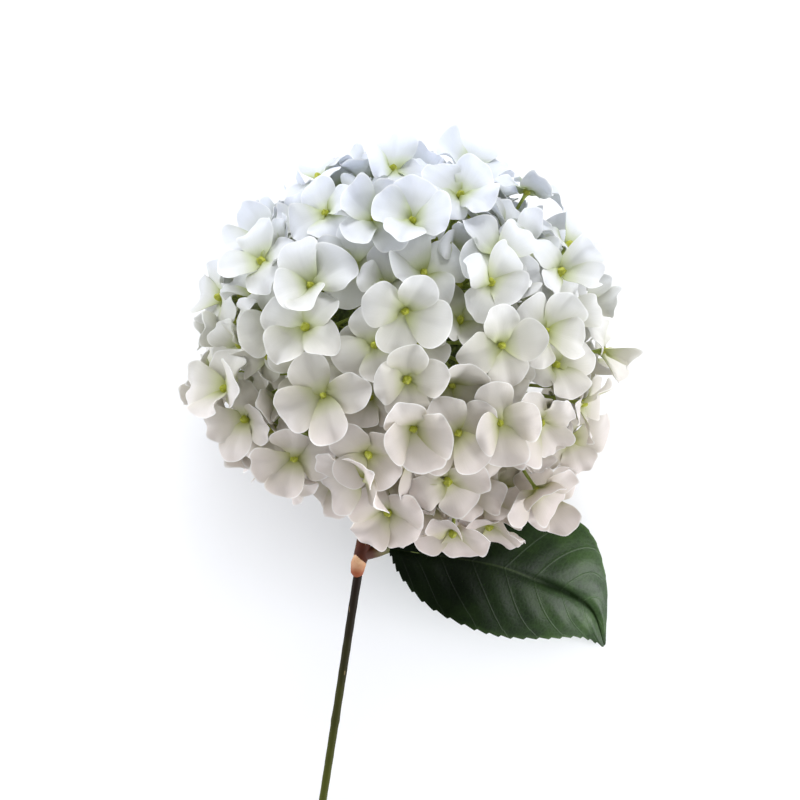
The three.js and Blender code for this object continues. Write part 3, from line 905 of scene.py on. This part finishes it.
def painted(add, colour, *layers):
    """The colour under layers of (way to mix, where the layer is, its share there, its colour)."""
    for way, where, share, over in layers:
        over = linear(over) if isinstance(over, str) else over
        colour = add("Mix", {0: add("Math", [where, share], TIMES), 6: colour, 7: over}, way, 2)
    return colour


# along a petal: lime at its claw, its own colour, and darker towards the claw, partly painted shade of the
# floret's cup
PETAL_STOPS = [(0.0, "#b4bd5c"), (0.1, "#ced595"), (0.22, "#e1e5c6"), (0.4, "#efefe8"), (0.75, "#f9f9f9")]
# painted light over the head, by height: warmer below, cooler at the top
HEAD_PAINTED_LIGHT = [(0.0, "#efe5e0"), (0.3, "#efe9e4"), (0.5, "#f1f0eb"), (0.7, "#f1f3f6"), (0.9, "#eff3fc")]


def petal_material():
    """Fresh white petal: thin, dull and softly lit through, with a faintly grainy skin.

    It is lime at its claw and darker towards it, partly as painted shade of the floret's cup. It has a
    painted highlight at its rim, painted light that is cooler at the head's top and warmer below, painted
    shade that is greenish deeper in the head, and faint veins that fan out.
    """
    material, add = new_material("white petal")
    names = ("along", "across", "tone", "margin")
    along, across, tone, margin = [add("Attribute", (), {"attribute_name": name}, "Fac") for name in names]
    place = add("TexCoord", out="Object")
    height = add("SeparateXYZ", [place], out="Y")
    # painted light: the petals tinted by how high they are in the head, warmer below and cooler at the top
    painted_light_tint = add("ValToRGB", [add("MapRange", [height, -0.09, 0.09])], {"stops": HEAD_PAINTED_LIGHT})
    # painted highlight: whiter at the rim of the petal's outer half
    rim = add("MapRange", [margin, 0.93, 1.0, 0.0, 0.7], GENTLE)
    painted_rim_highlight = add("Math", [rim, add("MapRange", [along, 0.35, 0.7])], TIMES)
    # painted shade: greenish and darker deeper inside the head, by how far a point is from its middle
    head = {"Vector": place, "Location": HEAD_CENTRE * MM, "Scale": HEAD_SEATS * MM}
    from_middle = add("Mapping", head, {"vector_type": "TEXTURE"})
    out = add("VectorMath", [from_middle], {"operation": "LENGTH"}, "Value")
    deep = add("MapRange", [out, 1.0, 0.72, 0.0, 0.9], GENTLE)
    # a vein for about each millimetre of a petal's width, other ones for each petal
    fan = add("Math", [across, add("Math", [along, 0.35], {"operation": "ADD"})], {"operation": "DIVIDE"})
    streaks = [add("Math", pair, TIMES) for pair in ([fan, 11.0], [along, 1.3], [tone, 37.0])]
    streaked = {"Vector": add("CombineXYZ", streaks), "Scale": 1.6, "Detail": 3.0, "Roughness": 0.55}
    veins = add("MapRange", [add("TexNoise", streaked), 0.42, 0.6], GENTLE)
    colour = painted(
        add, add("ValToRGB", [along], {"stops": PETAL_STOPS}), (TINTED, 1.0, 1.0, painted_light_tint),
        (TOWARDS, painted_rim_highlight, 1.0, "#ffffff"), (TINTED, deep, 1.0, "#e2e4c4"), (TINTED, tone, 0.35, "#e9e8e4"),
        (TINTED, veins, 0.035, "#cfd3bd"),
    )
    grain = add("TexNoise", {"Vector": place, "Scale": cells_of(0.7143), "Detail": 2.0})
    relief = add("Math", [grain, 0.3, add("Math", [veins, 0.25], TIMES)], TIMES_PLUS)
    bump = add("Bump", {"Height": relief, "Strength": 0.4, "Distance": 0.12 * MM})
    skin = {"Base Color": colour, "Roughness": 0.55, "Specular IOR Level": 0.35, "Sheen Weight": 0.08}
    skin = add("BsdfPrincipled", {**skin, "Normal": bump})
    seen_through = painted(add, colour, (TINTED, 1.0, 1.0, "#fffffd"))
    through = add("BsdfTranslucent", {"Color": seen_through, "Normal": bump})
    add("OutputMaterial", [add("MixShader", [0.4, skin, through])])
    return material


def plant_skin(name, stops, mottle_mm, roughness=0.5, bump_mm=0.15, near=None):
    """Fresh plant skin: mottled between the stops in spots of that size, with a finer grain.

    near is the colour that it has where it starts, and how far that reaches along it.
    """
    material, add = new_material(name)
    place = add("TexCoord", out="Object")
    spots = {"Vector": place, "Scale": cells_of(mottle_mm), "Detail": 4.0, "Roughness": 0.6}
    colour = add("ValToRGB", [add("TexNoise", spots)], {"stops": stops})
    if near:
        colour_near, reach = near
        along = add("Attribute", (), {"attribute_name": "along"}, "Fac")
        start = add("MapRange", [along, reach, reach * 0.3])
        colour = painted(add, colour, (TOWARDS, start, 1.0, colour_near))
    grain = add("TexNoise", {"Vector": place, "Scale": cells_of(mottle_mm / 7), "Detail": 2.0})
    bump = add("Bump", {"Height": grain, "Strength": 0.5, "Distance": bump_mm * MM})
    skin = {"Base Color": colour, "Roughness": roughness, "Normal": bump, "Specular IOR Level": 0.4}
    add("OutputMaterial", [add("BsdfPrincipled", skin)])
    return material


BARK_STOPS = [
    (0.0, "#5f6828"), (0.56, "#4a5016"), (0.7, "#34350d"), (0.8, "#1f1807"), (0.88, "#1d0d06"),
    (0.93, "#532410"), (1.0, "#4a441a"),
]


def stem_material():
    """Green wood with a dull, fibrous skin and pale breathing spots.

    It is olive green below, dark brown near the joint and reddish brown over it.
    """
    material, add = new_material("stem skin")
    place = add("TexCoord", out="Object")
    runs = add("SeparateXYZ", [place], out="Y")
    share = add("MapRange", [runs, STEM_LINE[0][1] * MM, STEM_TOP[1] * MM])
    stretched = add("Mapping", {"Vector": place, "Scale": (1.0, 0.12, 1.0)})
    threads = {"Vector": stretched, "Scale": cells_of(1.1111), "Detail": 5.0, "Roughness": 0.6}
    fibres = add("TexNoise", threads)
    blotches = add("TexNoise", {"Vector": place, "Scale": cells_of(11.111), "Detail": 3.0})
    wander = add("Math", [add("Math", [blotches, 0.5], MINUS), 0.16, share], TIMES_PLUS)
    cells = add("TexVoronoi", {"Vector": stretched, "Scale": cells_of(2.381)}, {"feature": "F1"})
    spots = add("MapRange", [cells, 0.16, 0.1], GENTLE)
    colour = painted(
        add, add("ValToRGB", [wander], {"stops": BARK_STOPS}), (TINTED, fibres, 0.5, "#8d7f5e"),
        (TOWARDS, spots, 0.45, "#a08a62"),
    )
    relief = add("Math", [spots, 0.6, fibres], TIMES_PLUS)
    bump = add("Bump", {"Height": relief, "Strength": 0.6, "Distance": 0.2 * MM})
    skin = {"Base Color": colour, "Roughness": 0.6, "Normal": bump, "Specular IOR Level": 0.15}
    add("OutputMaterial", [add("BsdfPrincipled", skin)])
    return material


LEAF_STOPS = [(0.3, "#1c330e"), (0.5, "#294413"), (0.72, "#3c5b1c")]
# painted shadow of the flower head on the leaf, along it: darkest at its base by the stem, none near its tip
LEAF_PAINTED_SHADOW = [(0.0, "#484848"), (0.35, "#50504c"), (0.6, "#b4b4aa"), (0.85, "#ffffff")]


def leaf_material():
    """Leaf blade: satin deep green that lets a little light through, darker near the stem by a painted
    shadow of the flower head.

    It has paler side veins and net, a yellower margin and a paler underside, and painted shade in its fold.
    """
    material, add = new_material("leaf blade")
    names = ("along", "across")
    along, across = [add("Attribute", (), {"attribute_name": name}, "Fac") for name in names]
    side = add("Math", [across], SIZE_ONLY)
    slant = add("Math", [side, VEINS["bend"], VEINS["slope"]], TIMES_PLUS)
    straight = add("Math", [along, add("Math", [side, slant], TIMES)], MINUS)
    cycle = add("Math", [add("Math", [straight, VEINS["pairs"], 0.5], TIMES_PLUS)], {"operation": "FRACT"})
    off = add("Math", [add("Math", [cycle, 0.5], MINUS)], SIZE_ONLY)
    vein = add("MapRange", [off, 0.05, 0.01], GENTLE)
    rib = add("MapRange", [side, 0.024, 0.008], GENTLE)
    place = add("TexCoord", out="Object")
    cells = {"Vector": place, "Scale": cells_of(2.381)}
    net_cells = add("TexVoronoi", cells, {"feature": "DISTANCE_TO_EDGE"})
    net = add("MapRange", [net_cells, 0.12, 0.0], GENTLE)
    spots = {"Vector": place, "Scale": cells_of(14.2857), "Detail": 5.0, "Roughness": 0.6}
    body = add("ValToRGB", [add("TexNoise", spots)], {"stops": LEAF_STOPS})
    outer = add("MapRange", [along, 0.45, 0.65], GENTLE)
    pale_rib = add("Math", [rib, add("Math", [outer, -0.4, 0.4], TIMES_PLUS)], TIMES)
    # painted shadow of the flower head: the leaf darker towards its base by the stem
    shade = add("ValToRGB", [along], {"stops": LEAF_PAINTED_SHADOW})
    # painted shade: near black along the folded middle of the leaf's outer part
    painted_fold_shade = add("Math", [add("MapRange", [side, 0.1, 0.015], GENTLE), outer], TIMES)
    # specular and coat lowered under the painted shadow and the painted fold shade
    gloss_under_painted_shade = add("Math", [shade, add("Math", [1.0, painted_fold_shade], MINUS)], TIMES)
    # the yellower margin, faded where the painted shadow falls
    lit_margin = add("Math", [add("MapRange", [side, 0.9, 1.0], GENTLE), shade], TIMES)
    facing = add("SeparateXYZ", [add("NewGeometry", out="Normal")], out="Z")
    beneath = add("Math", [facing, 0.0], {"operation": "LESS_THAN"})
    colour = painted(
        add, body, (TOWARDS, net, 0.16, "#4d7340"), (TOWARDS, vein, 0.12, "#6f8f5a"),
        (TOWARDS, pale_rib, 1.0, "#7f9a5c"), (TINTED, 1.0, 1.0, shade), (TOWARDS, painted_fold_shade, 0.8, "#0c1608"),
        (TOWARDS, lit_margin, 0.4, "#557239"), (TOWARDS, beneath, 0.5, "#7d9a6a"),
    )
    relief = add("Math", [add("Math", [net_cells, vein], MINUS), 0.8], TIMES)
    bump = add("Bump", {"Height": relief, "Strength": 0.5, "Distance": 0.3 * MM})
    level, coat = add("Math", [gloss_under_painted_shade, 0.35, 0.02], TIMES_PLUS), add("Math", [gloss_under_painted_shade, 0.08], TIMES)
    skin = {"Base Color": colour, "Roughness": 0.4, "Specular IOR Level": level, "Normal": bump}
    skin = add("BsdfPrincipled", {**skin, "Coat Weight": coat, "Coat Roughness": 0.3})
    glow = add("BsdfTranslucent", {"Color": colour})
    add("OutputMaterial", [add("MixShader", [0.12, skin, glow])])
    return material


# --- the flower ---
petals = petal_material()
# closed buds: lime, with a satin skin
bud_green = plant_skin("lime bud", [(0.3, "#858a26"), (0.55, "#a5aa36"), (0.75, "#c9cc68")], 2.0, 0.5, 0.1)
# the florets' own stalks: light green and satin
stops = [(0.3, "#7f8f35"), (0.55, "#9aa84c"), (0.75, "#b4bd6b")]
stalk_green = plant_skin("flower stalk skin", stops, 3.8462)
# the mass that the buds stand on: dark, dull and rough
stops = [(0.3, "#2f3a17"), (0.55, "#5b6a2c"), (0.75, "#87924a")]
thicket_green = plant_skin("inner thicket", stops, 2.6316, 0.7, 0.6)
bark = stem_material()
# a healed scar: pale tan and dull, reddish brown at its lower end
stops = [(0.25, "#a87650"), (0.45, "#c99a70"), (0.7, "#dcb68f")]
scar = plant_skin("pale scar tissue", stops, 3.125, 0.6, 0.3, ("#8a4522", 0.6))
# the cut face: pale, moist green wood
wood = plant_skin("cut wood", [(0.3, "#9fa268"), (0.55, "#cfcf9c"), (0.75, "#e2dfba")], 1.1111, 0.75, 0.2)
leaf_skin = leaf_material()
# the leaf's stalk: olive green and satin, reddish brown where it leaves the joint
stops = [(0.3, "#414c18"), (0.5, "#566222"), (0.75, "#6d7a34")]
petiole_skin = plant_skin("leaf stalk skin", stops, 6.25, near=("#46200e", 0.11))

florets = floret_places()
inner = inner_florets(florets)
forms = grow_petals(florets, [], SEEDS["petals"])
grown = [(form["centre"], petal_points(form, COARSE).reshape(-1, 3)) for form in forms]
inner_forms = grow_petals(inner, grown, SEEDS["inner petals"])
shapes = [petal_shape(form, GRID, forms[:i]) for i, form in enumerate(forms)]
inner_shapes = [petal_shape(form, SMALL_GRID, forms + inner_forms[:i]) for i, form in enumerate(inner_forms)]
facing_up = PETALS * len(UPPER_FLORETS)
face_petals = piece("petals_of_the_face", join(shapes[:facing_up]), petals)
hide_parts("flower_head")
piece("petals_of_the_back", join(shapes[facing_up:]), petals)
piece("petals_within", join(inner_shapes), petals)
buttons = []
for i, floret in enumerate(florets + inner):
    buttons += button_shapes(floret, random_from(SEEDS["button"] + i))
piece("floret_buttons", join(buttons), bud_green)
ends = ray_ends()
mass, closed_buds, bud_stalks = core_shapes()
inner_stalks = inner_stalk_shapes(florets + inner, ends)
piece("inner_stalks", join(inner_stalks + bud_stalks), stalk_green)
piece("inner_thicket", mass, thicket_green)
piece("inner_buds", join(closed_buds), bud_green)
rays = piece("flower_rays", join(ray_shapes(ends)), stalk_green)
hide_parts("flower_stalks")
stem = piece("bare_stem", stem_shape(), bark)
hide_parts("stem")
piece("joint_scar", joint_shape(), scar)
piece("cut_end", cut_end_shape(), wood)
leaf = piece("leaf_blade", leaf_shape(), leaf_skin)
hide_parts("leaf")
piece("leaf_stalk", leaf_stalk_shape(), petiole_skin)

# --- the stage: pale floor, soft studio light, camera straight above ---
FLOOR_SIZE = 6.0  # metres
FLOOR_DROP = 0.2  # under the flower, so that they don't share a face
VIEW_WIDTH = 336.0  # across the picture, at the head's middle
SENSOR = 36.0
WORLD_STRENGTH = 0.76
# name, place in millimetres, size in metres, power in watts, colour
LIGHTS = [
    ("key from the top", (350, 1350, 650), 0.8, 18.5, "#f7f8ff"),
    ("low from the left", (-1300, 250, 420), 0.8, 13.0, "#f1f4ff"),
    ("low from the right", (1250, -500, 450), 0.8, 14.5, "#fafaff"),
    ("overhead", (0, 0, 1900), 1.6, 3.0, "#ffffff"),
]

bpy.ops.mesh.primitive_plane_add(size=FLOOR_SIZE, location=(0, 0, -FLOOR_DROP * MM))
floor = bpy.context.object
floor.name = "floor"
# matt white card: flat and near white, so that the soft shadow shows
card, add = new_material("matt white card")
grain = add("TexNoise", {"Vector": add("TexCoord", out="Object"), "Scale": cells_of(3.3333)})
bump = add("Bump", {"Height": grain, "Strength": 0.05, "Distance": 0.5 * MM})
surface = {"Base Color": linear("#fbfbfb"), "Roughness": 0.9, "Normal": bump, "Specular IOR Level": 0.1}
add("OutputMaterial", [add("BsdfPrincipled", surface)])
floor.data.materials.append(card)

world = bpy.data.worlds.new("studio")
world.use_nodes = True
backdrop = world.node_tree.nodes["Background"]
backdrop.inputs["Color"].default_value = linear("#f4f6fa")
backdrop.inputs["Strength"].default_value = WORLD_STRENGTH
bpy.context.scene.world = world

for name, place, size, power, colour in LIGHTS:
    light = bpy.data.lights.new(name, "AREA")
    light.shape = "SQUARE"
    light.size = size
    light.energy = power
    light.color = linear(colour)[:3]
    lamp = new_object(name, light)
    lamp.location = np.array(place, float) * MM
    lamp.rotation_euler = Vector(HEAD_CENTRE - place).to_track_quat("-Z", "Y").to_euler()

camera_data = bpy.data.cameras.new("camera")
camera_data.sensor_width = SENSOR
camera_data.lens = SENSOR * EYE[2] / VIEW_WIDTH
camera_data.clip_start = 0.05
camera_data.dof.use_dof = False
camera = new_object("camera", camera_data)
camera.location = (HEAD_CENTRE + EYE) * MM
bpy.context.scene.camera = camera
bpy.context.scene.view_settings.view_transform = "Standard"
